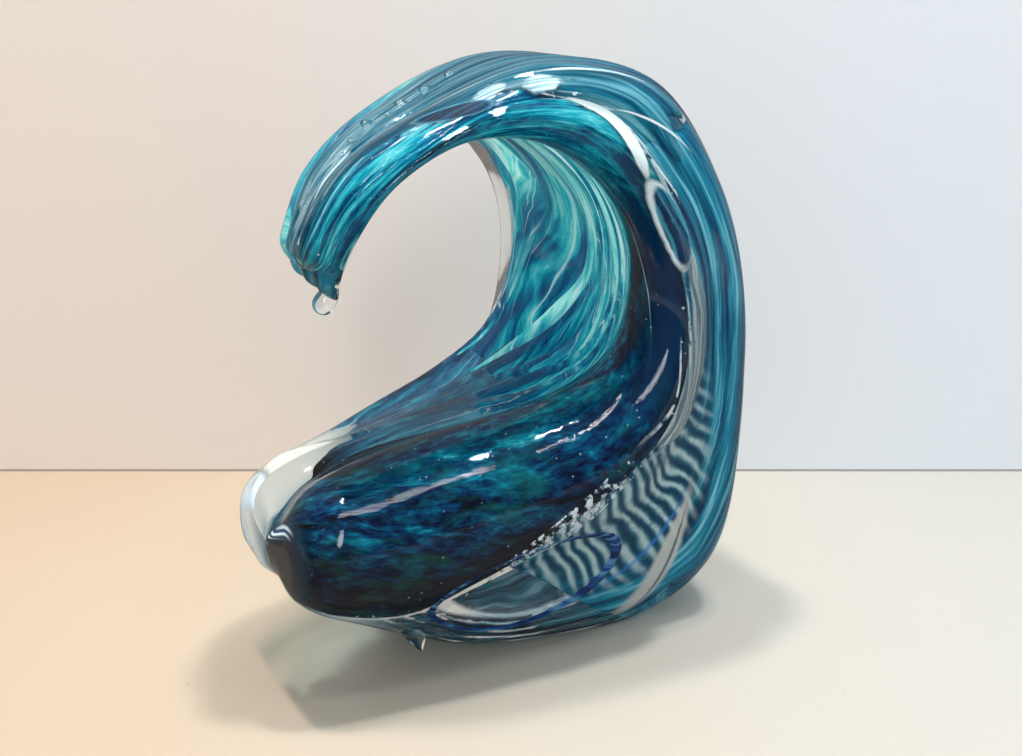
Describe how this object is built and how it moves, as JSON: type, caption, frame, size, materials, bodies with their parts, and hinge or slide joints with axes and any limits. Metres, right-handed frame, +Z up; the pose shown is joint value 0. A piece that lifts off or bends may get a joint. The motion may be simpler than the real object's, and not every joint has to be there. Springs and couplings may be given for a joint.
{
  "type": "glass wave sculpture",
  "caption": "Free-standing solid glass sculpture of a breaking wave: clear casing over coloured cores, curled over an open hollow, with a flat ground foot.",
  "frame": {"origin": "on the flat ground foot, under the hollow of the curl", "axes": "+Z up from the foot, +X from the toe towards the back of the wave, +Y from the near roll to the far edge"},
  "size_m": [0.1401, 0.0859, 0.157],
  "materials": {
    "clear_glass": "fire-polished clear glass",
    "clear_heart_glass": "clear glass with a faint blue tint",
    "deep_blue_glass": "mottled navy and teal frit in glass",
    "navy_glass": "dark mottled blue frit in glass",
    "turquoise_glass": "streaked turquoise colour in glass",
    "pale_cane_glass": "pale opaline cane",
    "white_frit_glass": "white opal frit",
    "royal_blue_glass": "transparent royal blue",
    "teal_glass": "optic-ribbed teal",
    "grey_blue_glass": "smoky grey-blue streaks"
  },
  "bodies": {
    "root": {"clear_casing": "clear_glass", "clear_heart": "clear_heart_glass", "near_roll_core": "deep_blue_glass", "toe_lobe_core": "navy_glass", "face_sheet": "turquoise_glass", "pale_canes": "pale_cane_glass", "white_frit_trail": "white_frit_glass", "clear_far_edge": "clear_glass", "foot_window": "clear_glass", "window_trail": "royal_blue_glass", "back_sheet": "teal_glass", "pale_ribbon": "pale_cane_glass", "crest_sheet": "grey_blue_glass", "far_fin": "clear_glass", "crest_fingers": "clear_glass", "crest_drop": "clear_glass"}
  },
  "joints": []
}
